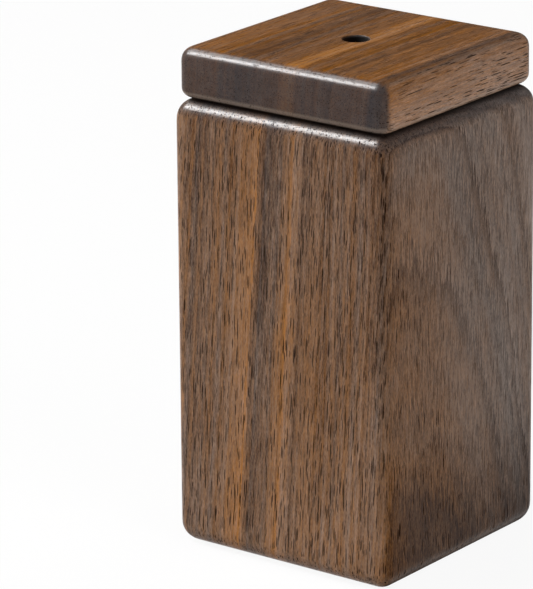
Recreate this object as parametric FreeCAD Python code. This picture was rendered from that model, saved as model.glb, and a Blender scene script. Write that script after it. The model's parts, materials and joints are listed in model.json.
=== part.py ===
"""Square walnut toothpick dispenser, with the picks it is loaded with.

A block of walnut with a blind round bore stores the picks upright. A separate square lid
closes it. Four pairs of disc magnets hold the lid on the case. A funnel in the lid's
underside leads one pick at a time to a small round outlet in the middle of the lid.

Millimetres, +Z up. The origin is the centre of the underside, and the case's faces are
square to X and Y. Each piece is written to parts/NODE.step.
"""

import FreeCAD, Part
import math
import os

UP = FreeCAD.Vector(0, 0, 1)

# Toothpick: a turned pick with a carved head, 65 mm long as sold
PICK_LENGTH = 65.0
PICK_DIAMETER = 1.42
PICK_HEAD_DIAMETER = 1.34
PICK_HEAD_LENGTH = 7.7
PICK_NOTCH_DIAMETER = 0.86
PICK_NOTCH_WIDTH = 0.65
PICK_BARREL_LENGTH = 1.35
PICK_GROOVE_WIDTH = 0.8
PICK_RING_DEPTH = 0.07
PICK_RING_WIDTH = 0.4
PICK_RING_PLACE = 4.3
PICK_TAPER_LENGTH = 12.4
PICK_SHOULDER_DIAMETER = 1.24
PICK_POINT_LENGTH = 6.2
PICK_TIP_DIAMETER = 0.2
PICK_EASE = 0.2
PICK_FLATS = 12

# Case: one block of walnut, bored from above
CASE_WIDTH = 45.0
CASE_EDGE_RADIUS = 3.0
FLOOR_THICKNESS = 10.0
BORE_DIAMETER = 33.0
BORE_MOUTH_CHAMFER = 0.5
PICK_HEADROOM = 5.4

# Lid: a separate slice of walnut, a little smaller than the case
LID_HEIGHT = 9.0
LID_STEP = 0.7
LID_EDGE_RADIUS = 2.4
OUTLET_DIAMETER = 4.4
OUTLET_WALL = 3.5
OUTLET_EASE = 0.3
FUNNEL_DIAMETER = 26.0

# Magnets: four pairs of discs glued in blind pockets
MAGNET_DIAMETER = 6.0
MAGNET_THICKNESS = 3.0
MAGNET_CHAMFER = 0.2
MAGNET_RECESS = 0.1
POCKET_CLEARANCE = 0.05

# Load: six leaning picks round an upright one
LEANING_PICKS = 6
LOAD_CLEARANCE = 0.35

# Places worked out from the sizes above
BORE_RADIUS = BORE_DIAMETER / 2
BORE_DEPTH = PICK_LENGTH + PICK_HEADROOM
SEAM_Z = FLOOR_THICKNESS + BORE_DEPTH
LID_WIDTH = CASE_WIDTH - 2 * LID_STEP
LID_TOP_Z = SEAM_Z + LID_HEIGHT
FUNNEL_HEIGHT = LID_HEIGHT - OUTLET_WALL - OUTLET_EASE
POCKET_DEPTH = MAGNET_THICKNESS + MAGNET_RECESS


def rounded_block(width, height, edge_radius, base_z):
    """Square block on the Z axis with all twelve edges rounded."""
    corner = FreeCAD.Vector(-width / 2, -width / 2, base_z)
    block = Part.makeBox(width, width, height, corner)
    return block.makeFillet(edge_radius, block.Edges)


def cylinder(diameter, height, x, y, base_z):
    """Upright cylinder on a centre at x, y."""
    return Part.makeCylinder(diameter / 2, height, FreeCAD.Vector(x, y, base_z), UP)


def cone(low_diameter, high_diameter, height, base_z):
    """Upright cone frustum on the Z axis."""
    base = FreeCAD.Vector(0, 0, base_z)
    return Part.makeCone(low_diameter / 2, high_diameter / 2, height, base, UP)


def magnet_centres():
    """Centres of the magnets, halfway between the bore and the flat corner of the rim."""
    flat_corner = math.sqrt(2) * (CASE_WIDTH / 2 - CASE_EDGE_RADIUS)
    reach = (BORE_RADIUS + flat_corner) / 2 / math.sqrt(2)
    return [(reach, reach), (-reach, reach), (-reach, -reach), (reach, -reach)]


def magnet(x, y, base_z):
    """Disc magnet with chamfered rims."""
    disc = cylinder(MAGNET_DIAMETER, MAGNET_THICKNESS, x, y, base_z)
    rims = [edge for edge in disc.Edges if edge.Closed]
    return disc.makeChamfer(MAGNET_CHAMFER, rims)


def make_case():
    """Walnut block with the blind bore and four magnet pockets in its rim."""
    case = rounded_block(CASE_WIDTH, SEAM_Z, CASE_EDGE_RADIUS, 0)
    case = case.cut(cylinder(BORE_DIAMETER, BORE_DEPTH, 0, 0, FLOOR_THICKNESS))
    mouth_diameter = BORE_DIAMETER + 2 * BORE_MOUTH_CHAMFER
    mouth = cone(BORE_DIAMETER, mouth_diameter, BORE_MOUTH_CHAMFER, SEAM_Z - BORE_MOUTH_CHAMFER)
    case = case.cut(mouth)
    pocket_diameter = MAGNET_DIAMETER + 2 * POCKET_CLEARANCE
    for x, y in magnet_centres():
        case = case.cut(cylinder(pocket_diameter, POCKET_DEPTH, x, y, SEAM_Z - POCKET_DEPTH))
    return case


def make_lid():
    """Walnut lid with the outlet, its funnel and four magnet pockets in its underside."""
    lid = rounded_block(LID_WIDTH, LID_HEIGHT, LID_EDGE_RADIUS, SEAM_Z)
    lid = lid.cut(cylinder(OUTLET_DIAMETER, LID_HEIGHT, 0, 0, SEAM_Z))
    lid = lid.cut(cone(FUNNEL_DIAMETER, OUTLET_DIAMETER, FUNNEL_HEIGHT, SEAM_Z))
    eased_diameter = OUTLET_DIAMETER + 2 * OUTLET_EASE
    lid = lid.cut(cone(OUTLET_DIAMETER, eased_diameter, OUTLET_EASE, LID_TOP_Z - OUTLET_EASE))
    pocket_diameter = MAGNET_DIAMETER + 2 * POCKET_CLEARANCE
    for x, y in magnet_centres():
        lid = lid.cut(cylinder(pocket_diameter, POCKET_DEPTH, x, y, SEAM_Z))
    return lid


def pick_profile():
    """Radius and height pairs of a standing pick, from its tip at 0 to its head."""
    shaft = PICK_DIAMETER / 2
    head = PICK_HEAD_DIAMETER / 2
    notch = PICK_NOTCH_DIAMETER / 2
    notch_top = PICK_LENGTH - PICK_HEAD_LENGTH
    barrel_top = notch_top - PICK_NOTCH_WIDTH
    barrel_bottom = barrel_top - PICK_BARREL_LENGTH
    shaft_top = barrel_bottom - PICK_GROOVE_WIDTH
    ring_top = PICK_LENGTH - PICK_RING_PLACE
    ring_middle = ring_top - PICK_RING_WIDTH / 2
    ring_bottom = ring_top - PICK_RING_WIDTH
    barrel_ease = PICK_BARREL_LENGTH / 4
    return [
        (PICK_TIP_DIAMETER / 2, 0),
        (PICK_SHOULDER_DIAMETER / 2, PICK_POINT_LENGTH),
        (shaft, PICK_TAPER_LENGTH),
        (shaft, shaft_top),
        (notch, (shaft_top + barrel_bottom) / 2),
        (shaft - PICK_RING_DEPTH, barrel_bottom),
        (shaft, barrel_bottom + barrel_ease),
        (shaft, barrel_top - barrel_ease),
        (shaft - PICK_RING_DEPTH, barrel_top),
        (notch, (barrel_top + notch_top) / 2),
        (head, notch_top),
        (head, ring_bottom),
        (head - PICK_RING_DEPTH, ring_middle),
        (head, ring_top),
        (head, PICK_LENGTH - PICK_EASE),
        (head - PICK_EASE, PICK_LENGTH),
    ]


def flats_ring(radius, height):
    """Corners of the pick's many-sided section at one height."""
    turns = [2 * math.pi * flat / PICK_FLATS for flat in range(PICK_FLATS)]
    return [FreeCAD.Vector(radius * math.cos(turn), radius * math.sin(turn), height) for turn in turns]


def flat_face(corners):
    """Flat face through a closed row of corners."""
    return Part.Face(Part.makePolygon(corners + corners[:1]))


def standing_pick():
    """Pick shaved to long flats, its tip at the origin and its head up."""
    rings = [flats_ring(radius, height) for radius, height in pick_profile()]
    faces = [flat_face(rings[0][::-1]), flat_face(rings[-1])]
    for low, high in zip(rings, rings[1:]):
        for flat in range(PICK_FLATS):
            after = (flat + 1) % PICK_FLATS
            faces.append(flat_face([low[flat], low[after], high[after], high[flat]]))
    return Part.Solid(Part.Shell(faces))


def placed_pick(pick, tip, direction):
    """Copy of the standing pick with its tip at a point and its head along a direction."""
    copy = pick.copy()
    copy.Placement = FreeCAD.Placement(tip, FreeCAD.Rotation(UP, direction))
    return copy


def upright_pick(pick):
    """The pick next to leave, standing under the outlet."""
    return placed_pick(pick, FreeCAD.Vector(0, 0, FLOOR_THICKNESS + LOAD_CLEARANCE), UP)


def lean_angle(tip_radius, head_radius, waist_radius):
    """Angle about Z from a leaning pick's tip to its head.

    The line from tip to head passes the Z axis at the waist radius, so twice the area of
    the triangle of axis, tip and head is the waist radius times the line's plan length.
    """
    product = tip_radius * head_radius
    squares = tip_radius ** 2 + head_radius ** 2
    waist = waist_radius ** 2
    root = math.sqrt(waist ** 2 - waist * squares + product ** 2)
    return math.acos((waist - root) / product)


def leaning_pick(pick, turn):
    """A stored pick, its tip on the floor by the wall and its head against the far side."""
    tip_radius = BORE_RADIUS - LOAD_CLEARANCE - PICK_TIP_DIAMETER / 2
    head_radius = BORE_RADIUS - LOAD_CLEARANCE - PICK_HEAD_DIAMETER / 2
    sweep = lean_angle(tip_radius, head_radius, PICK_DIAMETER + LOAD_CLEARANCE)
    tip = FreeCAD.Vector(tip_radius * math.cos(turn), tip_radius * math.sin(turn), 0)
    head = FreeCAD.Vector(head_radius * math.cos(turn + sweep), head_radius * math.sin(turn + sweep), 0)
    lean = head - tip
    rise = math.sqrt(PICK_LENGTH ** 2 - lean.Length ** 2)
    floor_lift = UP * (FLOOR_THICKNESS + LOAD_CLEARANCE)
    return placed_pick(pick, tip + floor_lift, lean + UP * rise)


def write(node, shape):
    """Write one piece to its own STEP file."""
    shape.exportStep("parts/" + node + ".step")
    print(node, "volume", round(shape.Volume, 1), "mm3, valid", shape.isValid())


def main():
    """Build and write every piece."""
    os.makedirs("parts", exist_ok=True)
    write("case", make_case())
    write("lid", make_lid())
    for number, (x, y) in enumerate(magnet_centres(), start=1):
        write("case_magnet_%d" % number, magnet(x, y, SEAM_Z - POCKET_DEPTH))
        write("lid_magnet_%d" % number, magnet(x, y, SEAM_Z + MAGNET_RECESS))
    pick = standing_pick()
    write("toothpick_1", upright_pick(pick))
    for number in range(LEANING_PICKS):
        turn = 2 * math.pi * number / LEANING_PICKS
        write("toothpick_%d" % (number + 2), leaning_pick(pick, turn))


main()
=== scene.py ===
# %% [markdown]
# # A square walnut toothpick dispenser
# The real object is a block of walnut with a round bore, closed by a loose square lid with one
# small outlet. Disc magnets hold the lid on, and seven carved bamboo picks are its load. The
# CAD model is the frame: every piece made here stands where its CAD node stands, and the blocks
# and magnets are measured on their nodes. This lesson dresses the frame with sanded edges,
# open-pored walnut, plated magnets and shaved bamboo.

# %% Load the frame
import json
import math

import bpy
import numpy as np
from mathutils import Matrix, Vector


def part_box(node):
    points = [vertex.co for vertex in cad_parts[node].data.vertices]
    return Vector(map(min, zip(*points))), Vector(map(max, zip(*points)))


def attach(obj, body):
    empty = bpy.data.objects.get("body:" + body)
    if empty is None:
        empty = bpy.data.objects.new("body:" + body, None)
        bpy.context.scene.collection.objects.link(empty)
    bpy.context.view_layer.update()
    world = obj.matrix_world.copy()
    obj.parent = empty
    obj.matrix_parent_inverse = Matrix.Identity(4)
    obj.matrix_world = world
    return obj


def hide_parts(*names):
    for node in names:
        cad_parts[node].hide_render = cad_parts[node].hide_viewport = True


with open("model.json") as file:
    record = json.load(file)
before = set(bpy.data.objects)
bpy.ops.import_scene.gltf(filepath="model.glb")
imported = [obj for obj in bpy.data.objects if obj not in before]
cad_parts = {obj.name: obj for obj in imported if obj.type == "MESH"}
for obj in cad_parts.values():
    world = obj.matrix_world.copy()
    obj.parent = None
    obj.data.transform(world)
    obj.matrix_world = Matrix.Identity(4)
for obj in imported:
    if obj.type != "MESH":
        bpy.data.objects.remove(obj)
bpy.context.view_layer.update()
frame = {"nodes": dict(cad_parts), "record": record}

MM = 0.001

# %% [markdown]
# The sizes that the visual pieces share with the CAD model are measured on its nodes, in
# millimetres. Only the round holes can't be read off a box, so their sizes are written here.

# %% Sizes of the blocks and their holes
case_low, case_high = (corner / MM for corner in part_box("case"))
lid_low, lid_high = (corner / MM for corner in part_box("lid"))
CASE_WIDTH = case_high.x - case_low.x
LID_WIDTH = lid_high.x - lid_low.x
SEAM_Z = case_high.z
LID_TOP_Z = lid_high.z
BORE_RADIUS = 16.5
BORE_FLOOR_Z = 10.0
MOUTH_CHAMFER = 0.5
OUTLET_RADIUS = 2.2
OUTLET_WALL = 3.5
OUTLET_EASE = 0.3
FUNNEL_RADIUS = 13.0
POCKET_RADIUS = 3.05
POCKET_DEPTH = 3.1
print("case", round(CASE_WIDTH, 2), "mm wide, seam at", round(SEAM_Z, 2))
print("lid", round(LID_WIDTH, 2), "mm wide, top at", round(LID_TOP_Z, 2))

# %% [markdown]
# A sanded edge isn't a quarter circle: the sander eases into the flat. A superellipse has that
# slow start. Its power is 2 for a circle, and a little more than 2 for a sanded edge. To give
# a highlight clean borders, the points are taken at even steps of the direction that the edge
# faces, not at even steps along it.


# %% The sanded edge and the square section
def sanded_edge(extent, power, steps):
    """Quarter of the superellipse |x|^p + |y|^p = extent^p at even steps of its normal.

    Where the normal is at the angle a, x goes as cos(a)^k and y as sin(a)^k, with
    k = 1 / (p - 1), and both are divided so that they satisfy the superellipse.
    """
    angle = np.linspace(0, np.pi / 2, steps)
    k = 1 / (power - 1)
    x = np.clip(np.cos(angle), 0, 1) ** k
    y = np.clip(np.sin(angle), 0, 1) ** k
    size = (x ** power + y ** power) ** (1 / power)
    return extent * x / size, extent * y / size


def square_section(half, corner, power, steps=14, sides=12):
    """Closed outline of a square with sanded corners, anticlockwise, as an (n, 2) array.

    One side and one corner are computed and turned four times by quarter turns.
    """
    x, y = sanded_edge(corner, power, steps)
    straight = half - corner
    side_y = np.linspace(-straight, straight, sides + 2)[1:-1]
    side = np.column_stack([np.full(sides, half), side_y])
    quarter = np.concatenate([side, np.column_stack([straight + x, straight + y])])
    turns = np.array([[[c, s], [-s, c]] for c, s in ((1, 0), (0, 1), (-1, 0), (0, -1))])
    return np.concatenate(quarter @ turns)


def at_height(section, z):
    """Outline in plan lifted to one height, as an (n, 3) ring."""
    return np.column_stack([section, np.full(len(section), z)])


print("points round a section:", len(square_section(10, 2, 2.2)))

# %% [markdown]
# Both blocks are made as a row of rings with the same number of points, as a cooper's hoops
# on a barrel. Each ring is a square section or a circle, so one surface can walk from the
# outside over the rim and down into the bore without a seam. A circle takes its points in the
# same directions as the square's, so no quad is twisted.


# %% Rings of a block
def block_skin(half, low_z, high_z, upright, bottom, top, steps=14):
    """Rings of a sanded block from its lower flat to its upper flat.

    Each edge is (extent, power). A ring of the top or bottom edge is the square section drawn
    in by extent - x at the height extent - y from the flat, with x, y on the sanded edge. The
    upright corner shrinks by half of that inset.
    """
    rings = []
    for (extent, power), flat_z, inward in ((bottom, low_z, 1), (top, high_z, -1)):
        x, y = sanded_edge(extent, power, steps)
        order = slice(None, None, -1) if inward > 0 else slice(None)
        for inset, rise in zip((extent - x)[order], (extent - y)[order]):
            section = square_section(half - inset, upright[0] - inset / 2, upright[1])
            rings.append(at_height(section, flat_z + inward * rise))
    return rings


def circle_like(ring, radius, z):
    """Circle at height z with its points in the same plan directions as a ring's."""
    plan = ring[:, :2]
    return at_height(radius * plan / np.linalg.norm(plan, axis=1, keepdims=True), z)


def between(first, last, steps):
    """Rings on the straight way from one ring to another, without the two ends."""
    shares = np.linspace(0, 1, steps + 2)[1:-1]
    return [first + share * (last - first) for share in shares]


# %% [markdown]
# One function turns rings into a mesh. An open row of rings is closed at each end by a point
# in the middle, and a row that returns to its start is closed on itself, as a torus is. The
# volume inside the surface is the sum of the tetrahedra from the origin to each triangle. If
# it is negative, the faces look inwards and are turned.


# %% Rings to a mesh
def outward(points, faces):
    """Faces turned outwards, and the volume that they enclose.

    The volume is a sixth of the sum of a . (b x c) over the triangles a, b, c.
    """
    first, second, third = (points[faces[:, corner]] for corner in range(3))
    volume = np.einsum("ij,ij->i", first, np.cross(second, third)).sum() / 6
    return (faces[:, ::-1], -volume) if volume < 0 else (faces, volume)


def triangles_of(rings, loop):
    """Points and triangles of a surface through rings, closed by poles unless it is a loop."""
    grid = np.array(rings)
    rows, columns = grid.shape[:2]
    index = np.arange(rows * columns).reshape(rows, columns)
    below = index if loop else index[:-1]
    above = np.roll(index, -1, axis=0) if loop else index[1:]
    corners = [below, np.roll(below, -1, 1), np.roll(above, -1, 1), above]
    a, b, c, d = (corner.ravel() for corner in corners)
    faces = [np.column_stack([a, b, c]), np.column_stack([a, c, d])]
    points = grid.reshape(-1, 3)
    if not loop:
        poles = np.array([grid[0].mean(axis=0), grid[-1].mean(axis=0)])
        first = np.full(columns, len(points))
        faces.append(np.column_stack([first, np.roll(index[0], -1), index[0]]))
        faces.append(np.column_stack([first + 1, index[-1], np.roll(index[-1], -1)]))
        points = np.concatenate([points, poles])
    return points, np.concatenate(faces)


def solid(name, points, faces, crease=35):
    """Mesh object from points in mm, smooth except where faces meet at more than a crease."""
    faces, volume = outward(points, faces)
    mesh = bpy.data.meshes.new(name)
    mesh.from_pydata((points * MM).tolist(), [], faces.tolist())
    mesh.shade_smooth()
    mesh.set_sharp_from_angle(angle=math.radians(crease))
    obj = bpy.data.objects.new(name, mesh)
    bpy.context.collection.objects.link(obj)
    print(name, len(faces), "triangles,", round(volume / 1000, 2), "cm3")
    return obj


# %% [markdown]
# Turned pieces need only a profile: pairs of radius and height. The section can carry flats,
# as a pick that was shaved from a strip does. A flat at the distance d from the axis cuts the
# round section wherever d / cos(angle from the flat) is less than the radius.


# %% Turned pieces
def turned(profile, points_round, flats=()):
    """Rings of a profile of (radius, height) pairs turned about Z.

    Each flat is (angle, depth): the radius becomes the lesser of 1 and
    (1 - depth) / cos(angle between) times the profile's.
    """
    turn = np.linspace(0, 2 * np.pi, points_round, endpoint=False)
    share = np.ones(points_round)
    for angle, depth in flats:
        facing = np.cos(turn - angle)
        share = np.where(facing > 0.1, np.minimum(share, (1 - depth) / np.maximum(facing, 0.1)), share)
    plan = share[:, None] * np.column_stack([np.cos(turn), np.sin(turn)])
    return [at_height(radius * plan, height) for radius, height in profile]


# %% [markdown]
# The case is one block. Its surface starts in the middle of the underside, goes up the
# outside, over the rim, and down the bore to the middle of its floor. The upright edges are
# sanded less than the top ones, which a hand meets first.

# %% The case's surface
CASE_UPRIGHT = (2.4, 2.2)
CASE_BOTTOM = (4.2, 2.3)
CASE_TOP = (4.2, 2.5)
FLOOR_RING = 8
case_skin = block_skin(CASE_WIDTH / 2, 0, SEAM_Z, CASE_UPRIGHT, CASE_BOTTOM, CASE_TOP)
rim = case_skin[-1]
mouth = circle_like(rim, BORE_RADIUS + MOUTH_CHAMFER, SEAM_Z)
bore_top = circle_like(rim, BORE_RADIUS, SEAM_Z - MOUTH_CHAMFER)
bore_foot = circle_like(rim, BORE_RADIUS, BORE_FLOOR_Z)
case_rings = [0.5 * case_skin[0], *case_skin, *between(rim, mouth, 3), mouth, bore_top]
case_rings += [*between(bore_top, bore_foot, 11), bore_foot]
case_rings += [circle_like(rim, FLOOR_RING, BORE_FLOOR_Z)]
case_block = solid("walnut_case_block", *triangles_of(case_rings, loop=False))

# %% [markdown]
# The lid has a hole right through it, so its surface is a ring doughnut: up the outlet, over
# its eased rim, across the top, down the outside, across the underside and up the funnel.

# %% The lid's surface
LID_UPRIGHT = (2.3, 2.2)
LID_BOTTOM = (1.9, 2.2)
LID_TOP = (2.7, 2.4)
lid_skin = block_skin(LID_WIDTH / 2, SEAM_Z, LID_TOP_Z, LID_UPRIGHT, LID_BOTTOM, LID_TOP)
top_edge, under_edge = lid_skin[-1], lid_skin[0]
outlet_foot = circle_like(top_edge, OUTLET_RADIUS, LID_TOP_Z - OUTLET_EASE - OUTLET_WALL)
outlet_top = circle_like(top_edge, OUTLET_RADIUS, LID_TOP_Z - OUTLET_EASE)
outlet_rim = circle_like(top_edge, OUTLET_RADIUS + OUTLET_EASE, LID_TOP_Z)
funnel_mouth = circle_like(top_edge, FUNNEL_RADIUS, SEAM_Z)
lid_rings = [outlet_foot, *between(outlet_foot, outlet_top, 2), outlet_top, outlet_rim]
lid_rings += [*between(outlet_rim, top_edge, 6), *lid_skin[::-1]]
lid_rings += [*between(under_edge, funnel_mouth, 3), funnel_mouth]
lid_rings += between(funnel_mouth, outlet_foot, 6)
lid_block = solid("walnut_lid_block", *triangles_of(lid_rings, loop=True))

# %% [markdown]
# The pockets for the magnets are drilled into both blocks, as in the workshop: a cutter of
# four discs is subtracted with an exact Boolean, and the result is kept as the block's mesh.


# %% Drill the magnet pockets
DISC_POINTS = 64


def magnet_place(node):
    """Centre in plan and the lowest and highest z of a magnet's CAD node, in mm."""
    low, high = (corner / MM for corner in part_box(node))
    return (low.x + high.x) / 2, (low.y + high.y) / 2, low.z, high.z


def drilled(block, nodes, low_z, high_z):
    """Subtracts a disc over each magnet from a block, between two heights."""
    profile = [(POCKET_RADIUS, low_z), (POCKET_RADIUS, high_z)]
    points, faces = triangles_of(turned(profile, DISC_POINTS), loop=False)
    places = np.array([[*magnet_place(node)[:2], 0] for node in nodes])
    all_points = np.concatenate([points + place for place in places])
    all_faces = np.concatenate([faces + len(points) * n for n in range(len(places))])
    cutter = solid("cutter", all_points, all_faces)
    modifier = block.modifiers.new("pockets", "BOOLEAN")
    modifier.operation, modifier.solver, modifier.object = "DIFFERENCE", "EXACT", cutter
    graph = bpy.context.evaluated_depsgraph_get()
    block.data = bpy.data.meshes.new_from_object(block.evaluated_get(graph))
    block.modifiers.clear()
    bpy.data.objects.remove(cutter)
    print(block.name, "has", len(block.data.polygons), "faces after drilling")


CASE_MAGNETS = ["case_magnet_%d" % number for number in range(1, 5)]
LID_MAGNETS = ["lid_magnet_%d" % number for number in range(1, 5)]
drilled(case_block, CASE_MAGNETS, SEAM_Z - POCKET_DEPTH, SEAM_Z + 1)
drilled(lid_block, LID_MAGNETS, SEAM_Z - 1, SEAM_Z + POCKET_DEPTH)

# %% [markdown]
# A disc magnet is pressed from powder and plated, so its rims are rounded. Five points on a
# quarter circle are enough for a rim of 0.2 mm.

# %% Disc magnets
RIM = 0.2
FACE_RING = 0.6
magnets = {}
for node in CASE_MAGNETS + LID_MAGNETS:
    x, y, low_z, high_z = magnet_place(node)
    radius = (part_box(node)[1].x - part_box(node)[0].x) / MM / 2
    angle = np.linspace(0, np.pi / 2, 5)
    rim_radius, rim_rise = radius - RIM + RIM * np.sin(angle), RIM - RIM * np.cos(angle)
    lower = list(zip(rim_radius, low_z + rim_rise))
    upper = list(zip(rim_radius[::-1], high_z - rim_rise[::-1]))
    profile = [(radius * FACE_RING, low_z), *lower, *upper, (radius * FACE_RING, high_z)]
    points, faces = triangles_of(turned(profile, DISC_POINTS), loop=False)
    magnets[node] = solid("plated_" + node, points + [x, y, 0], faces)

# %% [markdown]
# The picks are turned from split bamboo and keep long shaved flats. Each stands where its CAD
# node stands: the middles of that node's two end faces are its tip and its head.


# %% Bamboo picks
def pick_ends(node):
    """Middles of the tip and the head of a pick's CAD node, in mm.

    The axis is the direction in which the node's points spread most.
    """
    mesh = frame["nodes"][node].data
    points = np.empty(len(mesh.vertices) * 3)
    mesh.vertices.foreach_get("co", points)
    points = np.unique(np.round(points.reshape(-1, 3) / MM, 4), axis=0)
    axis = np.linalg.svd(points - points.mean(axis=0), full_matrices=False)[2][0]
    axis = axis if axis[2] > 0 else -axis
    along = points @ axis
    tip = points[along < along.min() + 0.01].mean(axis=0)
    head = points[along > along.max() - 0.01].mean(axis=0)
    return tip, head


def eased_step(start, end, steps=4):
    """Points of a rounded shoulder from one (radius, height) to another.

    The radius follows the first quarter of a cosine while the height goes evenly.
    """
    share = np.linspace(0, 1, steps)
    radius = end[0] + (start[0] - end[0]) * np.cos(share * np.pi / 2)
    return list(zip(radius, start[1] + (end[1] - start[1]) * share))


PICK = [(0.03, 0), (0.1, 0.35), (0.36, 3.2), (0.62, 6.2), (0.68, 9.2), (0.71, 12.4), (0.71, 34)]
PICK += eased_step((0.71, 53.9), (0.43, 54.9)) + [(0.5, 55.1), (0.66, 55.32)]
PICK += [(0.71, 55.62), (0.71, 56.3)] + eased_step((0.68, 56.55), (0.43, 56.9))
PICK += [(0.55, 57.1), (0.67, 57.3), (0.67, 60.3), (0.61, 60.5), (0.67, 60.7), (0.67, 64.5)]
PICK += eased_step((0.66, 64.7), (0.4, 65), 5)

PICK_LENGTH = 65
PICK_POINTS = 24
FLAT_DEPTH = 0.07
picks = {}
dice = np.random.default_rng(7)
for number in range(1, 8):
    node = "toothpick_%d" % number
    tip, head = pick_ends(node)
    lean = Vector(head - tip)
    angles = dice.uniform(0, 2 * np.pi, 3)
    rings = turned(PICK, PICK_POINTS, flats=[(angle, FLAT_DEPTH) for angle in angles])
    points, faces = triangles_of(rings, loop=False)
    spin = np.array(Vector((0, 0, 1)).rotation_difference(lean).to_matrix())
    points = points * [1, 1, lean.length / PICK_LENGTH] @ spin.T + tip
    picks[node] = solid("bamboo_pick_%d" % number, points, faces, crease=28)

# %% [markdown]
# A finish is a small machine of nodes, so one helper adds a node, sets it and links it.
# Colours are written as the sRGB hex values that a paint chart would give. The renderer works
# in linear light, and one function converts them.


# %% Helpers for finishes
def linear(code):
    """Linear RGBA of an sRGB hex code: c / 12.92, or ((c + 0.055) / 1.055) ^ 2.4 above 0.04."""
    srgb = np.array([int(code[at:at + 2], 16) for at in (1, 3, 5)]) / 255
    rgb = np.where(srgb <= 0.04045, srgb / 12.92, ((srgb + 0.055) / 1.055) ** 2.4)
    return (*rgb.tolist(), 1.0)


def add(tree, kind, inputs=None, **settings):
    """Adds a node with its settings, and fills its inputs with values or links."""
    node = tree.nodes.new("ShaderNode" + kind)
    for name, value in settings.items():
        setattr(node, name, value)
    for key, value in (inputs or {}).items():
        if isinstance(value, bpy.types.NodeSocket):
            tree.links.new(value, node.inputs[key])
        else:
            node.inputs[key].default_value = value
    return node


def set_stops(node, stops, interpolation="LINEAR"):
    """Gives a Color Ramp its stops of (position, linear RGBA)."""
    ramp = node.color_ramp
    ramp.interpolation = interpolation
    while len(ramp.elements) < len(stops):
        ramp.elements.new(0.5)
    for element, (position, colour) in zip(ramp.elements, stops):
        element.position, element.color = position, colour


def finish_material(name):
    """New material with its tree and its Principled shader."""
    material = bpy.data.materials.new(name)
    material.use_nodes = True
    return material, material.node_tree, material.node_tree.nodes["Principled BSDF"]


# %% [markdown]
# Walnut is coloured through and through, so its figure is a solid texture: the tree's rings are
# shells round a pith line far outside the block, and every face shows where it cuts them. A
# flat-sawn face shows arches and a quarter-sawn face shows stripes, both from the same shells.
# The wood is described in plank coordinates in mm: u and v across the grain, w along it. A slow
# wander of the grain, by 0.6 mm at most, keeps the lines from being ruled ones.

# %% Plank coordinates
GRAIN_WANDER = 1.2
WANDER_CELLS = (1 / 11, 1 / 11, 1 / 45)


def plank_coordinates(tree, place, pith, turn):
    """Plank coordinates in mm, and the same with the wander of the grain.

    The object's point is scaled to mm, turned, and moved so that the pith lies at 0. The wander
    adds GRAIN_WANDER times a slow noise, less its mean of a half, to u and v.
    """
    plank = add(tree, "Mapping", {"Vector": place.outputs["Object"], "Location": pith,
                                  "Rotation": turn, "Scale": (1 / MM,) * 3}).outputs[0]
    cells = add(tree, "VectorMath", {0: plank, 1: WANDER_CELLS}, operation="MULTIPLY")
    wander = add(tree, "TexNoise", {"Vector": cells.outputs[0], "Scale": 1.0, "Detail": 3.0,
                                    "Roughness": 0.5})
    drift = add(tree, "VectorMath", {0: wander.outputs["Color"], 1: (0.5, 0.5, 0.5)},
                operation="SUBTRACT")
    grain = add(tree, "VectorMath", {0: drift.outputs[0], 1: (GRAIN_WANDER, GRAIN_WANDER, 0.0),
                                     2: plank}, operation="MULTIPLY_ADD")
    return plank, grain.outputs[0]


print("wander of the grain, mm at most:", GRAIN_WANDER / 2)

# %% [markdown]
# Three noises break up the figure. Fibres are drawn 0.35 mm wide and 4.5 mm long, grit is 0.15
# by 0.6 mm, and clouds are 11 by 33 mm. Real fibres are finer than that, but wouldn't show.

# %% Fibres, grit and clouds
FIBRE_CELLS = (2.9, 2.9, 0.22)
GRIT_CELLS = (7.0, 7.0, 1.6)
CLOUD_CELLS = (0.09, 0.09, 0.03)


def plank_noises(tree, plank, grain):
    """Noise nodes of fibres, grit and clouds, with so many cells per mm along u, v and w."""
    noises = []
    for point, cells, detail, roughness in ((grain, FIBRE_CELLS, 3.0, 0.7),
                                            (grain, GRIT_CELLS, 1.0, 0.5),
                                            (plank, CLOUD_CELLS, 2.0, 0.5)):
        scaled = add(tree, "VectorMath", {0: point, 1: cells}, operation="MULTIPLY")
        noises.append(add(tree, "TexNoise", {"Vector": scaled.outputs[0], "Scale": 1.0,
                                             "Detail": detail, "Roughness": roughness}))
    return noises


for cells in (FIBRE_CELLS, GRIT_CELLS, CLOUD_CELLS):
    print("noise cell, mm:", [round(1 / count, 2) for count in cells])

# %% [markdown]
# A shell is known by its distance from the pith. Fibres roughen its border. A trunk also
# widens towards the root, so near one edge of the plank the stripes can fan out: they lean
# more over the first 14 mm from that edge, and no more than the rest from 32 mm on.

# %% Shells round the pith
RAGGED = 1.1
FAN_FULL, FAN_NONE, FAN_PIVOT = 14.0, 32.0, 40.0


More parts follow.
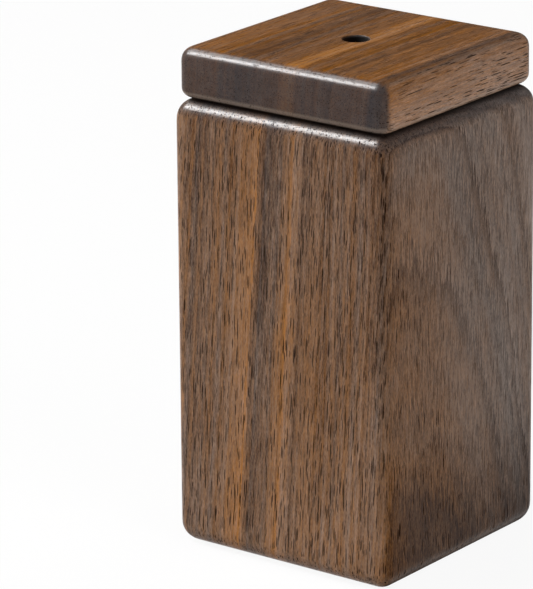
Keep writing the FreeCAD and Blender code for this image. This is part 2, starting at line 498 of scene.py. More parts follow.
def shell_distance(tree, grain, fibres, along, start, flare):
    """Distance from the pith, in mm, of the shell that a point belongs to.

    It is the length of (u, v) plus RAGGED times the fibre noise less its mean of a half. The
    fan adds flare times the height over its pivot, fading out away from the edge at start.
    """
    across = add(tree, "VectorMath", {0: grain, 1: (1.0, 1.0, 0.0)}, operation="MULTIPLY")
    radius = add(tree, "VectorMath", {0: across.outputs[0]}, operation="LENGTH").outputs["Value"]
    ragged = add(tree, "Math", {0: fibres.outputs[0], 1: RAGGED, 2: radius},
                 operation="MULTIPLY_ADD")
    centred = add(tree, "Math", {0: ragged.outputs[0], 1: RAGGED / 2}, operation="SUBTRACT")
    spread = add(tree, "MapRange", {"Value": radius, "From Min": start - FAN_NONE,
                                    "From Max": start - FAN_FULL, "To Max": flare})
    rise = add(tree, "Math", {0: along.outputs[2], 1: FAN_PIVOT}, operation="SUBTRACT")
    shell = add(tree, "Math", {0: rise.outputs[0], 1: spread.outputs[0], 2: centred.outputs[0]},
                operation="MULTIPLY_ADD")
    return shell.outputs[0]


print("fan: full to", FAN_FULL, "mm from the edge, none from", FAN_NONE)

# %% [markdown]
# Each shell has a tone, from dark to pale, and a warmth, from grey-brown to orange. Both are
# written as rows of stops over the distance from the plank's edge, as a joiner would read them
# off with a rule. A Color Ramp carries both: the tone in its red and the warmth in its green.
# A ramp has only 256 samples, so narrow dark arches get a row of their own.

# %% Streaks
# Painted reflection haze: the warmth falls between these two depths through the plank.
HAZE_FROM, HAZE_TO = -8.0, 26.0


def streaks(tree, shell, along, figure, start, haze_grey):
    """Tone and warmth of a shell, as the sums over the rows of the figure.

    Each further row is centred on 0.5, so half is taken off the tone for it. The warmth falls
    by the haze amount through the plank's thickness, as painted reflection haze that greys the
    faces towards the back.
    """
    tone = -0.5 * (len(figure) - 1)
    fade = add(tree, "MapRange", {"Value": along.outputs[1], "From Min": HAZE_FROM,
                                  "From Max": HAZE_TO, "To Max": -haze_grey})
    warmth = fade.outputs[0]
    for row in figure:
        low, high = row[0][0], row[-1][0]
        share = add(tree, "MapRange", {"Value": shell, "From Min": start - low,
                                       "From Max": start - high})
        ramp = add(tree, "ValToRGB", {"Fac": share.outputs[0]})
        stops = [((mm - low) / (high - low), (shade, warm, 0.0, 1.0)) for mm, shade, warm in row]
        set_stops(ramp, stops, "EASE")
        parts = add(tree, "SeparateColor", {0: ramp.outputs["Color"]})
        tone = add(tree, "Math", {0: tone, 1: parts.outputs[0]}, operation="ADD").outputs[0]
        warmth = add(tree, "Math", {0: warmth, 1: parts.outputs[1]}, operation="ADD").outputs[0]
    return tone, warmth


# %% [markdown]
# Fine lines come from noise in the distance from the pith alone, one to every 1.25 mm. Lines,
# fibres, clouds and grit each shift the tone and the warmth a little.

# %% Fine figure
LINES_PER_MM = 0.8
LINE_SHIFT, FIBRE_SHIFT, CLOUD_SHIFT, GRIT_SHIFT = (0.55, 1.5), (1.1, 1.1), (0.3, 0.9), (0.55, 0.7)


def fine_figure(tree, shell, fibres, grit, clouds, tone, warmth):
    """Tone and warmth shifted by each noise: by the shift times the noise less a half."""
    scaled = add(tree, "Math", {0: shell, 1: LINES_PER_MM}, operation="MULTIPLY")
    lines = add(tree, "TexNoise", {"W": scaled.outputs[0], "Scale": 1.0, "Detail": 4.0,
                                   "Roughness": 0.6}, noise_dimensions="1D")
    for layer, (shift, warm_shift) in ((lines, LINE_SHIFT), (fibres, FIBRE_SHIFT),
                                       (clouds, CLOUD_SHIFT), (grit, GRIT_SHIFT)):
        lifted = add(tree, "Math", {0: layer.outputs[0], 1: shift, 2: -shift / 2},
                     operation="MULTIPLY_ADD")
        tone = add(tree, "Math", {0: tone, 1: lifted.outputs[0]}, operation="ADD").outputs[0]
        parts = add(tree, "SeparateColor", {0: layer.outputs["Color"]})
        warmer = add(tree, "Math", {0: parts.outputs[1], 1: warm_shift, 2: -warm_shift / 2},
                     operation="MULTIPLY_ADD")
        warmth = add(tree, "Math", {0: warmth, 1: warmer.outputs[0]}, operation="ADD").outputs[0]
    return tone, warmth


print("lines every", 1 / LINES_PER_MM, "mm")

# %% [markdown]
# The case's right face is painted darker and warmer towards the foot, as painted shade. The
# other faces are painted a little paler towards it, as painted light.

# %% Painted shade and light towards the foot
RIGHT_FACE_FROM, RIGHT_FACE_TO = 21.6, 22.5
# Painted shade on the right face, from a little at its top height to full at its foot height.
SHADE_TOP, SHADE_FOOT = 25.0, 3.0
PLANK_LENGTH = 80.0
SHADE_WARMTH = 1.2


def right_face_mask(tree, sides):
    """Mask of the right face: x over its lower bound, in full at its upper bound."""
    return add(tree, "MapRange", {"Value": sides.outputs[0], "From Min": RIGHT_FACE_FROM * MM,
                                  "From Max": RIGHT_FACE_TO * MM}).outputs[0]


def foot_shade_and_light(tree, along, right_face, tone, warmth, foot_light, right_foot_shade):
    """Tone and warmth after painted shade on the right face and painted light on the others.

    The painted shade is full at the foot, and an eighth of it lies above its top height. It comes
    off the tone, and a set share of it goes to the warmth. The painted light goes evenly from minus
    half its amount at the head to half at the foot.
    """
    painted_paling = add(tree, "MapRange", {"Value": along.outputs[2], "From Min": 0.0,
                                   "From Max": PLANK_LENGTH, "To Min": foot_light / 2,
                                   "To Max": -foot_light / 2})
    shade_depth = add(tree, "MapRange", {"Value": along.outputs[2], "From Min": SHADE_TOP,
                                 "From Max": SHADE_FOOT, "To Min": right_foot_shade / 8, "To Max": right_foot_shade})
    right_shade = add(tree, "Math", {0: shade_depth.outputs[0], 1: right_face}, operation="MULTIPLY")
    warmth = add(tree, "Math", {0: right_shade.outputs[0], 1: SHADE_WARMTH, 2: warmth},
                 operation="MULTIPLY_ADD")
    tone = add(tree, "Math", {0: tone, 1: right_shade.outputs[0]}, operation="SUBTRACT")
    off_right_face = add(tree, "Math", {0: 1.0, 1: right_face}, operation="SUBTRACT")
    tone = add(tree, "Math", {0: painted_paling.outputs[0], 1: off_right_face.outputs[0], 2: tone.outputs[0]},
               operation="MULTIPLY_ADD")
    return tone.outputs[0], warmth.outputs[0]


# %% [markdown]
# Tone picks a brown off a chart of walnut browns, and warmth sets how saturated it is.

# %% Walnut browns
WALNUT_TONES = [(0.0, "#2e1a10"), (0.2, "#48301f"), (0.4, "#62452f"), (0.6, "#7b5a40"),
                (0.8, "#8e6748"), (1.0, "#a2744f")]
LID_TONES = [(0.0, "#331a09"), (0.2, "#4f2e11"), (0.4, "#68411a"), (0.6, "#7e5022"),
             (0.8, "#925e2a"), (1.0, "#aa7134")]
GREYEST, WARMEST = 0.46, 1.15


def wood_colour(tree, tone, warmth, tones):
    """Brown of a tone, with its saturation from GREYEST to WARMEST as warmth goes -0.5 to 1."""
    ramp = add(tree, "ValToRGB", {"Fac": tone})
    set_stops(ramp, [(position, linear(code)) for position, code in tones])
    vivid = add(tree, "MapRange", {"Value": warmth, "From Min": -0.5, "To Min": GREYEST,
                                   "To Max": WARMEST})
    return add(tree, "HueSaturation", {"Saturation": vivid.outputs[0],
                                       "Color": ramp.outputs["Color"]}).outputs["Color"]


# %% [markdown]
# Walnut's pores are vessels cut open: dark dashes up to 10 mm long on the sides and dots on end
# grain. They are long narrow cells of Voronoi noise, of which only the middles are open. Four
# layers of different size overlap, and the widest pores are 0.3 mm across.

# %% Pores
PORE_BROWN = "#180b05"
PORE_LEAST, PORE_MOST = 0.1, 1.2
PORE_LAYERS = [((2.1, 2.1, 0.12), 0.28, 0), ((2.8, 2.8, 0.19), 0.32, 40),
               ((3.8, 3.8, 0.3), 0.36, 20), ((1.7, 1.7, 0.04), 0.17, 80)]


def open_vessels(tree, grain):
    """Depth of the pores, 0 for none, as the greatest over the layers.

    Each layer is (cells per mm, opening, seed). A cell is open where the distance from its
    middle is less than PORE_LEAST to PORE_MOST times the opening, by its own draw.
    """
    pores = None
    for cells, opening, seed in PORE_LAYERS:
        scaled = add(tree, "VectorMath", {0: grain, 1: cells, 2: (seed,) * 3},
                     operation="MULTIPLY_ADD")
        cell = add(tree, "TexVoronoi", {"Vector": scaled.outputs[0], "Scale": 1.0}, feature="F1")
        draw = add(tree, "SeparateColor", {0: cell.outputs["Color"]})
        size = add(tree, "MapRange", {"Value": draw.outputs[0], "From Min": 0.25,
                                      "To Min": PORE_LEAST * opening,
                                      "To Max": PORE_MOST * opening})
        depth = add(tree, "MapRange", {"Value": draw.outputs[1], "To Min": 0.8, "To Max": 1.0})
        inner = add(tree, "Math", {0: size.outputs[0], 1: 0.75}, operation="MULTIPLY")
        hole = add(tree, "MapRange", {"Value": cell.outputs["Distance"],
                                      "From Min": size.outputs[0], "From Max": inner.outputs[0],
                                      "To Max": depth.outputs[0]},
                   interpolation_type="SMOOTHSTEP").outputs[0]
        pores = hole if pores is None else add(
            tree, "Math", {0: pores, 1: hole}, operation="MAXIMUM").outputs[0]
    return pores


def pore_share(tree, right_face, warmth, open_pores):
    """How much pores show: from the first share to the second as warmth goes -0.15 to 0.35.

    The right face counts as 0.35 less warm.
    """
    coarse = add(tree, "Math", {0: right_face, 1: -0.35, 2: warmth}, operation="MULTIPLY_ADD")
    return add(tree, "MapRange", {"Value": coarse.outputs[0], "From Min": -0.15,
                                  "From Max": 0.35, "To Min": open_pores[0],
                                  "To Max": open_pores[1]}).outputs[0]


for direction, axis in (("across", 0), ("along", 2)):
    largest = max(2 * PORE_MOST * opening / cells[axis] for cells, opening, seed in PORE_LAYERS)
    print("largest pore", direction, "the grain, mm:", round(largest, 2))

# %% [markdown]
# On end grain the cut fibres drink the oil and go dark, in patches about 2 mm wide. On the case's
# top edges this darkening also stands as painted shade, where the lid's shadow falls. Near the
# foot the end grain is sealed, so the stripes run on over the lower edge.

# %% End grain
END_GREYS = [(0.25, "#2a2c30"), (0.75, "#3b3d42")]
PATCH_CELLS = (0.55, 0.55, 0.3)
SEALED_BELOW = 4.5


def end_grain_mask(tree, place, sides, axis, amount):
    """Mask of faces across the grain: the size of the normal along the axis, 0.1 to 0.6."""
    facing = add(tree, "VectorMath", {0: place.outputs["Normal"], 1: axis},
                 operation="DOT_PRODUCT")
    cut = add(tree, "Math", {0: facing.outputs["Value"], 1: 0.0}, operation="ABSOLUTE")
    sealed = add(tree, "MapRange", {"Value": sides.outputs[2], "From Max": SEALED_BELOW * MM,
                                    "To Max": amount})
    return add(tree, "MapRange", {"Value": cut.outputs[0], "From Min": 0.1, "From Max": 0.6,
                                  "To Max": sealed.outputs[0]},
               interpolation_type="SMOOTHSTEP").outputs[0]


def oiled_ends(tree, plank):
    """Mottled dark grey that end grain turns to."""
    scaled = add(tree, "VectorMath", {0: plank, 1: PATCH_CELLS}, operation="MULTIPLY")
    patches = add(tree, "TexNoise", {"Vector": scaled.outputs[0], "Scale": 1.0, "Detail": 4.0,
                                     "Roughness": 0.6})
    mottled = add(tree, "ValToRGB", {"Fac": patches.outputs[0]})
    set_stops(mottled, [(position, linear(code)) for position, code in END_GREYS])
    return mottled.outputs["Color"]


print("patches of the end grain, mm:", round(1 / PATCH_CELLS[0], 1))

# %% [markdown]
# Four marks are painted into the colour. The lid's lower edge is painted pale, as painted light
# from below. The outlet is painted black, as painted shade in the hole. The right face's foot is
# painted dark, as painted shade, and so is the groove of the seam between lid and case.

# %% Painted light and shade marks
# Colours of painted shade and light: black in the outlet and at the right face's foot, dark brown in
# the seam, pale on the lid's lower edge.
SHADE_BLACK, SEAM_SHADE_BROWN, PAINTED_UNDERLIGHT = "#090605", "#0d0705", "#b09c8c"
OUTLET_SHADE_SOFT, OUTLET_SHADE_FULL = 2.55, 2.3
FOOT_TOP, FOOT_FULL, FOOT_SHADE_MOST = 2.6, 0.5, 0.9


def lit_lower_edge(tree, normal, under_light):
    """Mask of painted light on edges that face down: the normal's z from -0.1 to -0.45."""
    return add(tree, "MapRange", {"Value": normal.outputs[2], "From Min": -0.1,
                                  "From Max": -0.45, "To Max": under_light},
               interpolation_type="SMOOTHSTEP").outputs[0]


def outlet_shade(tree, place, outlet_shaded):
    """Mask of painted shade in the outlet: the distance from the Z axis under the soft radius, in full
    at the full radius.
    """
    plan = add(tree, "VectorMath", {0: place.outputs["Object"], 1: (1.0, 1.0, 0.0)},
               operation="MULTIPLY")
    away = add(tree, "VectorMath", {0: plan.outputs[0]}, operation="LENGTH")
    return add(tree, "MapRange", {"Value": away.outputs["Value"], "From Min": OUTLET_SHADE_SOFT * MM,
                                  "From Max": OUTLET_SHADE_FULL * MM, "To Max": outlet_shaded}).outputs[0]


def shaded_foot(tree, sides, normal):
    """Mask of painted shade on the lowest few millimetres of faces that look to the right."""
    facing = add(tree, "MapRange", {"Value": normal.outputs[0], "From Min": 0.1, "From Max": 0.6,
                                    "To Min": 0.0, "To Max": FOOT_SHADE_MOST})
    return add(tree, "MapRange", {"Value": sides.outputs[2], "From Min": FOOT_TOP * MM,
                                  "From Max": FOOT_FULL * MM, "To Max": facing.outputs[0]},
               interpolation_type="SMOOTHSTEP").outputs[0]


# %% [markdown]
# The painted shade of the seam lies on the two rounded edges that make its groove. It stops
# short of the flats that touch, which stay unpainted when the lid is lifted.

# %% Painted shade in the seam
SEAM_SHADE_BELOW, SEAM_SHADE_ABOVE = (-1.05, -0.2), (0.6, 0.3)
SEAM_SHADE_INNER, SEAM_SHADE_OUTER, SEAM_SHADE_COVER = 18.4, 20.2, 0.86
FLAT_MARGIN = 0.004


def seam_shade(tree, place, sides):
    """Mask of painted shade in the groove: near the seam's height, off its flat, and out by the edge.

    How far out a point is, is the greater of |x| and |y|.
    """
    off_seam = add(tree, "Math", {0: sides.outputs[2], 1: SEAM_Z * MM}, operation="SUBTRACT")
    near = []
    for soft, full in (SEAM_SHADE_BELOW, SEAM_SHADE_ABOVE):
        near.append(add(tree, "MapRange", {"Value": off_seam.outputs[0], "From Min": soft * MM,
                                           "From Max": full * MM},
                        interpolation_type="SMOOTHSTEP"))
    height = add(tree, "Math", {0: near[0].outputs[0], 1: near[1].outputs[0]},
                 operation="MULTIPLY")
    gap = add(tree, "Math", {0: off_seam.outputs[0]}, operation="ABSOLUTE")
    off_flat = add(tree, "Math", {0: gap.outputs[0], 1: FLAT_MARGIN * MM},
                   operation="GREATER_THAN")
    folded = add(tree, "VectorMath", {0: place.outputs["Object"]}, operation="ABSOLUTE")
    folded = add(tree, "SeparateXYZ", {0: folded.outputs[0]})
    far = add(tree, "Math", {0: folded.outputs[0], 1: folded.outputs[1]}, operation="MAXIMUM")
    outer = add(tree, "MapRange", {"Value": far.outputs[0], "From Min": SEAM_SHADE_INNER * MM,
                                   "From Max": SEAM_SHADE_OUTER * MM, "To Max": SEAM_SHADE_COVER})
    seam_dark = add(tree, "Math", {0: height.outputs[0], 1: outer.outputs[0]}, operation="MULTIPLY")
    return add(tree, "Math", {0: seam_dark.outputs[0], 1: off_flat.outputs[0]},
               operation="MULTIPLY").outputs[0]


# %% [markdown]
# Satin oil leaves the wood smooth between its pores and dull inside them and on the dark marks.
# The oil has gone into the wood and makes no film on it, so little light is reflected: the specular
# level is low. The relief is the pores, 0.08 mm deep, and a hint of fibres.

# %% Satin oil
SATIN, DULL = 0.28, 1.0
RELIEF_DEPTH = 0.08
FIBRE_RELIEF = 0.25


def satin_oil(tree, shader, pores, fibres, ends, marks):
    """Sets the shader's gloss and relief.

    Roughness goes from SATIN to DULL with the greatest of the pores and marks. The height is
    FIBRE_RELIEF times the fibre noise less the pores, and flatter on end grain.
    """
    matt = pores
    for mark in marks:
        matt = add(tree, "Math", {0: matt, 1: mark}, operation="MAXIMUM").outputs[0]
    roughness = add(tree, "MapRange", {"Value": matt, "To Min": SATIN, "To Max": DULL})
    tree.links.new(roughness.outputs[0], shader.inputs["Roughness"])
    shader.inputs["IOR"].default_value = 1.5
    shader.inputs["Specular IOR Level"].default_value = 0.07
    height = add(tree, "Math", {0: fibres.outputs[0], 1: FIBRE_RELIEF}, operation="MULTIPLY")
    relief = add(tree, "Math", {0: height.outputs[0], 1: pores}, operation="SUBTRACT")
    flat = add(tree, "MapRange", {"Value": ends, "To Min": 0.8, "To Max": 0.1})
    bump = add(tree, "Bump", {"Height": relief.outputs[0], "Strength": flat.outputs[0],
                              "Distance": RELIEF_DEPTH * MM})
    tree.links.new(bump.outputs[0], shader.inputs["Normal"])


# %% [markdown]
# The finish joins these steps: figure, colour, end grain, pores and marks, each laid over the
# one before. A mark only adds itself where its mask is open.

# %% The walnut finish


def walnut(name, axis, turn, pith, figure, start, tones, end_grain_and_shade, open_pores, foot_light=0.0,
           right_foot_shade=0.0, haze_grey=0.0, flare=0.0, under_light=0.0, outlet_shaded=0.0):
    """Satin oiled walnut, with its grain along an axis of the object.

    The figure is one or more rows of (distance from the plank's edge in mm, tone, warmth), and
    start is that edge's distance from the pith. The rest are amounts, 0 for none:
    end_grain_and_shade the darkness of end grain, which on the case's top edges also stands as
    painted shade under the lid, open_pores how much pores show in grey and in warm wood,
    foot_light the painted light that pales the other faces towards the foot, right_foot_shade the
    painted shade that darkens the right face towards the foot, haze_grey the loss of warmth
    through the thickness as painted reflection haze, flare the fan of the stripes, under_light the
    painted light on the lower edge, outlet_shaded the painted shade in the outlet.
    """
    material, tree, shader = finish_material(name)
    place = add(tree, "TexCoord")
    sides = add(tree, "SeparateXYZ", {0: place.outputs["Object"]})
    normal = add(tree, "SeparateXYZ", {0: place.outputs["Normal"]})
    plank, grain = plank_coordinates(tree, place, pith, turn)
    along = add(tree, "SeparateXYZ", {0: plank})
    fibres, grit, clouds = plank_noises(tree, plank, grain)
    shell = shell_distance(tree, grain, fibres, along, start, flare)
    right_face = right_face_mask(tree, sides)
    tone, warmth = streaks(tree, shell, along, figure, start, haze_grey)
    tone, warmth = fine_figure(tree, shell, fibres, grit, clouds, tone, warmth)
    tone, warmth = foot_shade_and_light(tree, along, right_face, tone, warmth, foot_light, right_foot_shade)

    pores = open_vessels(tree, grain)
    share = pore_share(tree, right_face, warmth, open_pores)
    shown = add(tree, "Math", {0: pores, 1: share}, operation="MULTIPLY").outputs[0]
    ends = end_grain_mask(tree, place, sides, axis, end_grain_and_shade)
    outlet_dark = outlet_shade(tree, place, outlet_shaded)
    foot = shaded_foot(tree, sides, normal)
    seam_dark = seam_shade(tree, place, sides)
    wood = wood_colour(tree, tone, warmth, tones)
    # Laid over the wood in turn: end grain, painted light on the lower edge, pores, painted shade in
    # the outlet, painted shade at the right face's foot, and painted shade in the seam.
    for mask, over in ((ends, oiled_ends(tree, plank)), (lit_lower_edge(tree, normal, under_light), PAINTED_UNDERLIGHT),
                       (shown, PORE_BROWN), (outlet_dark, SHADE_BLACK), (foot, SHADE_BLACK), (seam_dark, SEAM_SHADE_BROWN)):
        over = linear(over) if isinstance(over, str) else over
        wood = add(tree, "Mix", {"Factor": mask, 6: wood, 7: over}, data_type="RGBA").outputs[2]
    tree.links.new(wood, shader.inputs["Base Color"])
    satin_oil(tree, shader, pores, fibres, ends, (outlet_dark, seam_dark, foot))
    print(name, "has", len(tree.nodes), "nodes")
    return material


# %% [markdown]
# The case's grain stands upright and leans 2.86 degrees to the right, and its flare lets the
# stripes by the left edge lean 1.5 degrees more. Its pith lies 162 mm to the right and 14.5 mm
# in front of the middle, so the left face is quarter-sawn and striped, and the right face is
# flat-sawn and shows nested arches. Streaks are counted in mm from the left edge.

# %% Walnut of the case
CASE_PITH_RIGHT, CASE_PITH_FRONT = 162, 14.5
CASE_LEAN = -2.86
CASE_STREAKS = [(-4, 0.74, 0.4), (-1.8, 0.69, 0.4), (-0.4, 0.54, 0.36), (1, 0.47, 0.35),
                (3.4, 0.49, 0.35), (6, 0.61, 0.45), (9, 0.59, 0.52), (10.2, 0.66, 0.6),
                (11.4, 0.74, 0.66), (12.4, 0.8, 0.68), (13.7, 0.82, 0.68), (14.8, 0.5, 0.45),
                (15.8, 0.34, 0.2), (17.4, 0.4, 0.2), (18.8, 0.54, 0.5), (20.4, 0.64, 0.55),
                (21.4, 0.74, 0.6), (22.6, 0.74, 0.6), (23.8, 0.52, 0.45), (25, 0.48, 0.45),
                (26.4, 0.62, 0.6), (29, 0.52, 0.5), (33, 0.56, 0.5), (37, 0.57, 0.45),
                (38.2, 0.58, 0.45), (39.2, 0.54, 0.45), (41, 0.58, 0.45), (47, 0.56, 0.45)]
CASE_ARCHES = [(39.9, 0.5, 0.0), (40.3, 0.53, 0.0), (40.44, 0.26, 0.0), (40.65, 0.48, 0.0),
               (41.3, 0.5, 0.0), (41.85, 0.52, 0.0), (42.1, 0.33, 0.0), (42.3, 0.44, 0.0),
               (42.9, 0.49, 0.05), (43.4, 0.57, 0.1), (43.9, 0.6, 0.1), (44.17, 0.37, 0.1),
               (44.42, 0.56, 0.1), (46.5, 0.56, 0.1)]
# The case's finish paints shade on its right face towards the foot and light on its other faces
# towards the foot. It greys the faces towards the back as painted reflection haze, and with its end
# grain it paints shade on the top edges under the lid.
case_walnut = walnut("satin_walnut_case", (0, 0, 1), (0, math.radians(CASE_LEAN), 0),
                     (-CASE_PITH_RIGHT, CASE_PITH_FRONT, 0), [CASE_STREAKS, CASE_ARCHES],
                     CASE_PITH_RIGHT + CASE_WIDTH / 2, WALNUT_TONES, end_grain_and_shade=0.5,
                     open_pores=(0.3, 0.97), foot_light=0.23, right_foot_shade=0.43, haze_grey=0.8, flare=0.027)
case_block.data.materials.clear()
case_block.data.materials.append(case_walnut)

# %% [markdown]
# The lid is sliced from another place of the plank and its grain runs from front to back, so
# its front face is end grain: dark, with the pores as dots. Its pith lies 170 mm to the right,
# at a height of 70 mm, which puts it 171 mm from the lid's middle.

# %% Walnut of the lid
LID_PITH_RIGHT, LID_PITH_HEIGHT, LID_PITH_AWAY = 170, 70, 171
LID_STREAKS = [(-2, 0.56, 0.5), (4, 0.67, 0.5), (8, 0.66, 0.5), (11, 0.5, 0.5),
               (13.5, 0.38, 0.5), (15.5, 0.5, 0.5), (19, 0.55, 0.55), (21.5, 0.6, 0.6),
               (23.2, 0.9, 0.5), (24.8, 0.84, 0.5), (25.8, 0.48, 0.5), (27.5, 0.6, 0.55),
               (29, 0.44, 0.55), (30.5, 0.6, 0.55), (32, 0.46, 0.5), (34, 0.62, 0.6),
               (36, 0.56, 0.6), (38, 0.7, 0.6), (39.4, 0.66, 0.6), (40.8, 0.4, 0.4),
               (42.1, 0.4, 0.2), (42.9, 0.7, -0.25), (44.4, 0.79, -0.35)]
# The lid's finish paints light on its lower edge and shade in its outlet.
lid_walnut = walnut("satin_walnut_lid", (0, 1, 0), (math.radians(-90), 0, 0),
                    (-LID_PITH_RIGHT, -LID_PITH_HEIGHT, 0), [LID_STREAKS],
                    LID_PITH_AWAY + LID_WIDTH / 2, LID_TONES, end_grain_and_shade=0.8,
                    open_pores=(0.95, 0.5), under_light=0.3, outlet_shaded=0.95)
lid_block.data.materials.clear()
lid_block.data.materials.append(lid_walnut)

# %% [markdown]
# Nickel plate is a warm grey metal. The plating bath leaves it bright with a faint orange
# peel, and handling leaves hairlines, so roughness wanders a little.

# %% Nickel plate
nickel, tree, shader = finish_material("bright_nickel_plate")
place = add(tree, "TexCoord")
peel = add(tree, "TexNoise", {"Vector": place.outputs["Object"], "Scale": 900.0, "Detail": 3.0})
gloss = add(tree, "MapRange", {"Value": peel.outputs[0], "To Min": 0.12, "To Max": 0.34})
tree.links.new(gloss.outputs[0], shader.inputs["Roughness"])
tint = add(tree, "Mix", {"Factor": peel.outputs[0], 6: linear("#c4bfb4"), 7: linear("#dad6cc")},
           data_type="RGBA")
tree.links.new(tint.outputs[2], shader.inputs["Base Color"])
shader.inputs["Metallic"].default_value = 1.0
bump = add(tree, "Bump", {"Height": peel.outputs[0], "Strength": 0.2, "Distance": 0.02 * MM})
tree.links.new(bump.outputs[0], shader.inputs["Normal"])
for magnet in magnets.values():
    magnet.data.materials.append(nickel)

# %% [markdown]
# Bamboo is pale straw with darker fibre bundles about 0.3 mm apart along the stalk. The picks
# lean in all directions, but none by more than 30 degrees, so fibres stretched along Z and
# tied to the pick's own direction by an attribute would look the same. Stretched noise in
# Object coordinates is enough at this size.

# %% Bamboo
bamboo, tree, shader = finish_material("turned_bamboo")
place = add(tree, "TexCoord")
strand_at = add(tree, "VectorMath", {0: place.outputs["Object"], 1: (3500, 3500, 160)},
                operation="MULTIPLY")
strands = add(tree, "TexNoise", {"Vector": strand_at.outputs[0], "Scale": 1.0, "Detail": 3.0,
                                 "Roughness": 0.6})
straw = add(tree, "ValToRGB", {"Fac": strands.outputs[0]})
STRAW_TONES = [(0.3, "#b98d4e"), (0.45, "#d9b57f"), (0.6, "#e6c999"), (0.8, "#edd6ae")]
set_stops(straw, [(position, linear(code)) for position, code in STRAW_TONES])
tree.links.new(straw.outputs["Color"], shader.inputs["Base Color"])
shader.inputs["Roughness"].default_value = 0.5
shader.inputs["IOR"].default_value = 1.5
bump = add(tree, "Bump", {"Height": strands.outputs[0], "Strength": 0.5, "Distance": 0.03 * MM})
tree.links.new(bump.outputs[0], shader.inputs["Normal"])
for pick in picks.values():
    pick.data.materials.append(bamboo)

# %% [markdown]
# Each piece now rides on its body, and the CAD node that it stands for is hidden.

# %% Tie the pieces to the frame
pieces = {"case": case_block, "lid": lid_block, **magnets, **picks}
bodies = frame["record"]["behaviour"]["bodies"]
for body, nodes in bodies.items():
    for node in nodes:
        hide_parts(node)
        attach(pieces[node], body)
print(len(pieces), "pieces stand for", len(frame["nodes"]), "nodes")

# %% [markdown]
# Six softboxes light the object. Two stand high on the left and act on gloss alone: they draw
# the highlights along the upper edges. Four act on diffuse light alone: a key on the same side,
# a broad one that fills the left face, a small one near the right face, and a low one at the
# back for the far sides. A weak world fills the rest.

# %% Lamps
LIGHT_AIM = Vector((0, 0, 0.045))
SOFTBOXES = {
    "key_softbox": ((-0.58, -0.28, 0.76), 0.9, 0.3, 3.1, "diffuse"),
    "sheen_softbox": ((-0.58, -0.42, 0.7), 0.9, 0.3, 42.0, "glossy"),
    "sweep_softbox": ((-0.58, -0.05, 0.8), 0.9, 0.5, 17.0, "glossy"),
    "left_softbox": ((-0.85, -0.5, 0.4), 1.1, 0.7, 12.8, "diffuse"),
    "rear_softbox": ((0.25, 0.95, 0.2), 1.1, 0.4, 3.0, "diffuse"),
    "right_softbox": ((0.82, -0.2, 0.46), 0.4, 0.25, 0.85, "diffuse"),
}


def softbox(name, direction, distance, size, power, light):
    """Square area lamp in a direction from the object's middle, facing it, for one light."""
    lamp = bpy.data.lights.new(name, "AREA")
    lamp.shape, lamp.size, lamp.energy = "SQUARE", size, power
    obj = bpy.data.objects.new(name, lamp)
    aim = Vector(direction).normalized()
    obj.location = aim * distance + LIGHT_AIM
    obj.rotation_euler = aim.to_track_quat("Z", "Y").to_euler()
    obj.visible_diffuse = light == "diffuse"
    obj.visible_glossy = light == "glossy"
    bpy.context.collection.objects.link(obj)


for name, settings in SOFTBOXES.items():
    softbox(name, *settings)
world = bpy.data.worlds.new("studio")
world.use_nodes = True
world.node_tree.nodes["Background"].inputs["Color"].default_value = (1, 1, 1, 1)
world.node_tree.nodes["Background"].inputs["Strength"].default_value = 0.09
bpy.context.scene.world = world
print(len(SOFTBOXES), "softboxes")

# %% [markdown]
# The stage is a sheet of pale paper. It lies a hair below the underside, so that the two never
# share a plane and flicker. Seen straight or in gloss it is nearly white, because most of what
# is seen is a glow, and the rest shows the object's shadow. To all other light it is a plain
# grey sheet, so the glow doesn't light the object.

# %% Floor
FLOOR_Z = -0.1 * MM
FLOOR_HALF = 3
GLOW_SHARE = 0.91
floor_mesh = bpy.data.meshes.new("floor")
FLOOR_CORNERS = [(-FLOOR_HALF, -FLOOR_HALF, FLOOR_Z), (FLOOR_HALF, -FLOOR_HALF, FLOOR_Z),
                 (FLOOR_HALF, FLOOR_HALF, FLOOR_Z), (-FLOOR_HALF, FLOOR_HALF, FLOOR_Z)]
floor_mesh.from_pydata(FLOOR_CORNERS, [], [(0, 1, 2, 3)])
floor = bpy.data.objects.new("floor", floor_mesh)
bpy.context.collection.objects.link(floor)
paper, tree, shader = finish_material("white_paper")
shader.inputs["Base Color"].default_value = linear("#c4c4c2")
shader.inputs["Roughness"].default_value = 0.9
shader.inputs["Specular IOR Level"].default_value = 0.1
seen = add(tree, "BsdfDiffuse", {"Color": linear("#f6f6f5")})
glow = add(tree, "Emission", {"Color": (1, 1, 1, 1), "Strength": 1.0})
bright = add(tree, "MixShader", {0: GLOW_SHARE, 1: seen.outputs[0], 2: glow.outputs[0]})
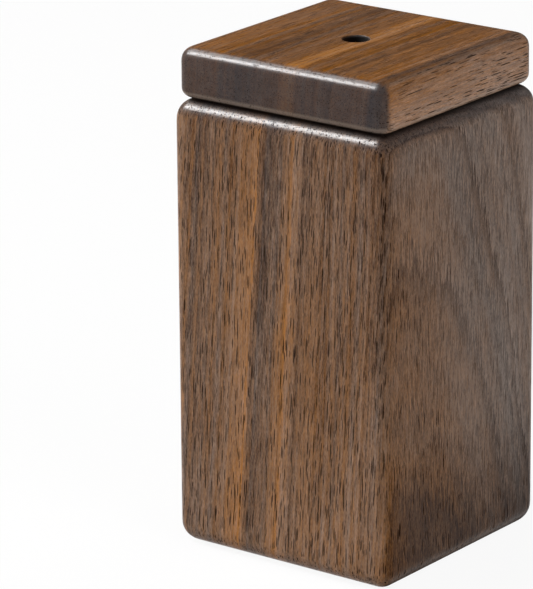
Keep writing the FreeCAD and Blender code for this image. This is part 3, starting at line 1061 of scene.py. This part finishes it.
ray = add(tree, "LightPath")
views = add(tree, "Math", {0: ray.outputs["Is Camera Ray"], 1: ray.outputs["Is Glossy Ray"]},
            operation="MAXIMUM")
views = add(tree, "Math", {0: views.outputs[0], 1: ray.outputs["Is Transmission Ray"]},
            operation="MAXIMUM")
cover = add(tree, "MixShader", {0: views.outputs[0], 1: shader.outputs[0],
                                2: bright.outputs[0]})
tree.links.new(cover.outputs[0], tree.nodes["Material Output"].inputs["Surface"])
floor_mesh.materials.append(paper)
print("floor at", FLOOR_Z / MM, "mm")

# %% [markdown]
# The camera stands in front, to the right and a little above, with a long lens. It aims to the
# left of the object, which puts the object in the right half of the frame.

# %% Camera
AZIMUTH, ELEVATION, ROLL = math.radians(37.32), math.radians(17.83), math.radians(-0.48)
DISTANCE, FOCAL_PIXELS, LONG_SIDE = 0.8149, 4711.9, 589
AIM_HEIGHT, AIM_LEFT, AIM_DOWN = 0.046, 0.01557, 0.0022
SENSOR = 36
back = Vector((math.sin(AZIMUTH) * math.cos(ELEVATION),
               -math.cos(AZIMUTH) * math.cos(ELEVATION), math.sin(ELEVATION)))
level = Vector((math.cos(AZIMUTH), math.sin(AZIMUTH), 0))
upward = back.cross(level)
to_right = math.cos(ROLL) * level + math.sin(ROLL) * upward
to_top = -math.sin(ROLL) * level + math.cos(ROLL) * upward
camera_data = bpy.data.cameras.new("camera")
camera_data.sensor_width = SENSOR
camera_data.lens = SENSOR * FOCAL_PIXELS / LONG_SIDE
camera = bpy.data.objects.new("camera", camera_data)
aim = Vector((0, 0, AIM_HEIGHT)) - AIM_LEFT * to_right - AIM_DOWN * to_top
camera.location = aim + back * DISTANCE
turn = np.column_stack([to_right, to_top, back])
camera.rotation_euler = Matrix(turn.tolist()).to_euler()
camera_data.clip_start, camera_data.clip_end = 0.01, 20
bpy.context.collection.objects.link(camera)
bpy.context.scene.camera = camera
bpy.context.scene.view_settings.view_transform = "Standard"
print("lens", round(camera_data.lens, 1), "mm at", round(DISTANCE, 3), "m")
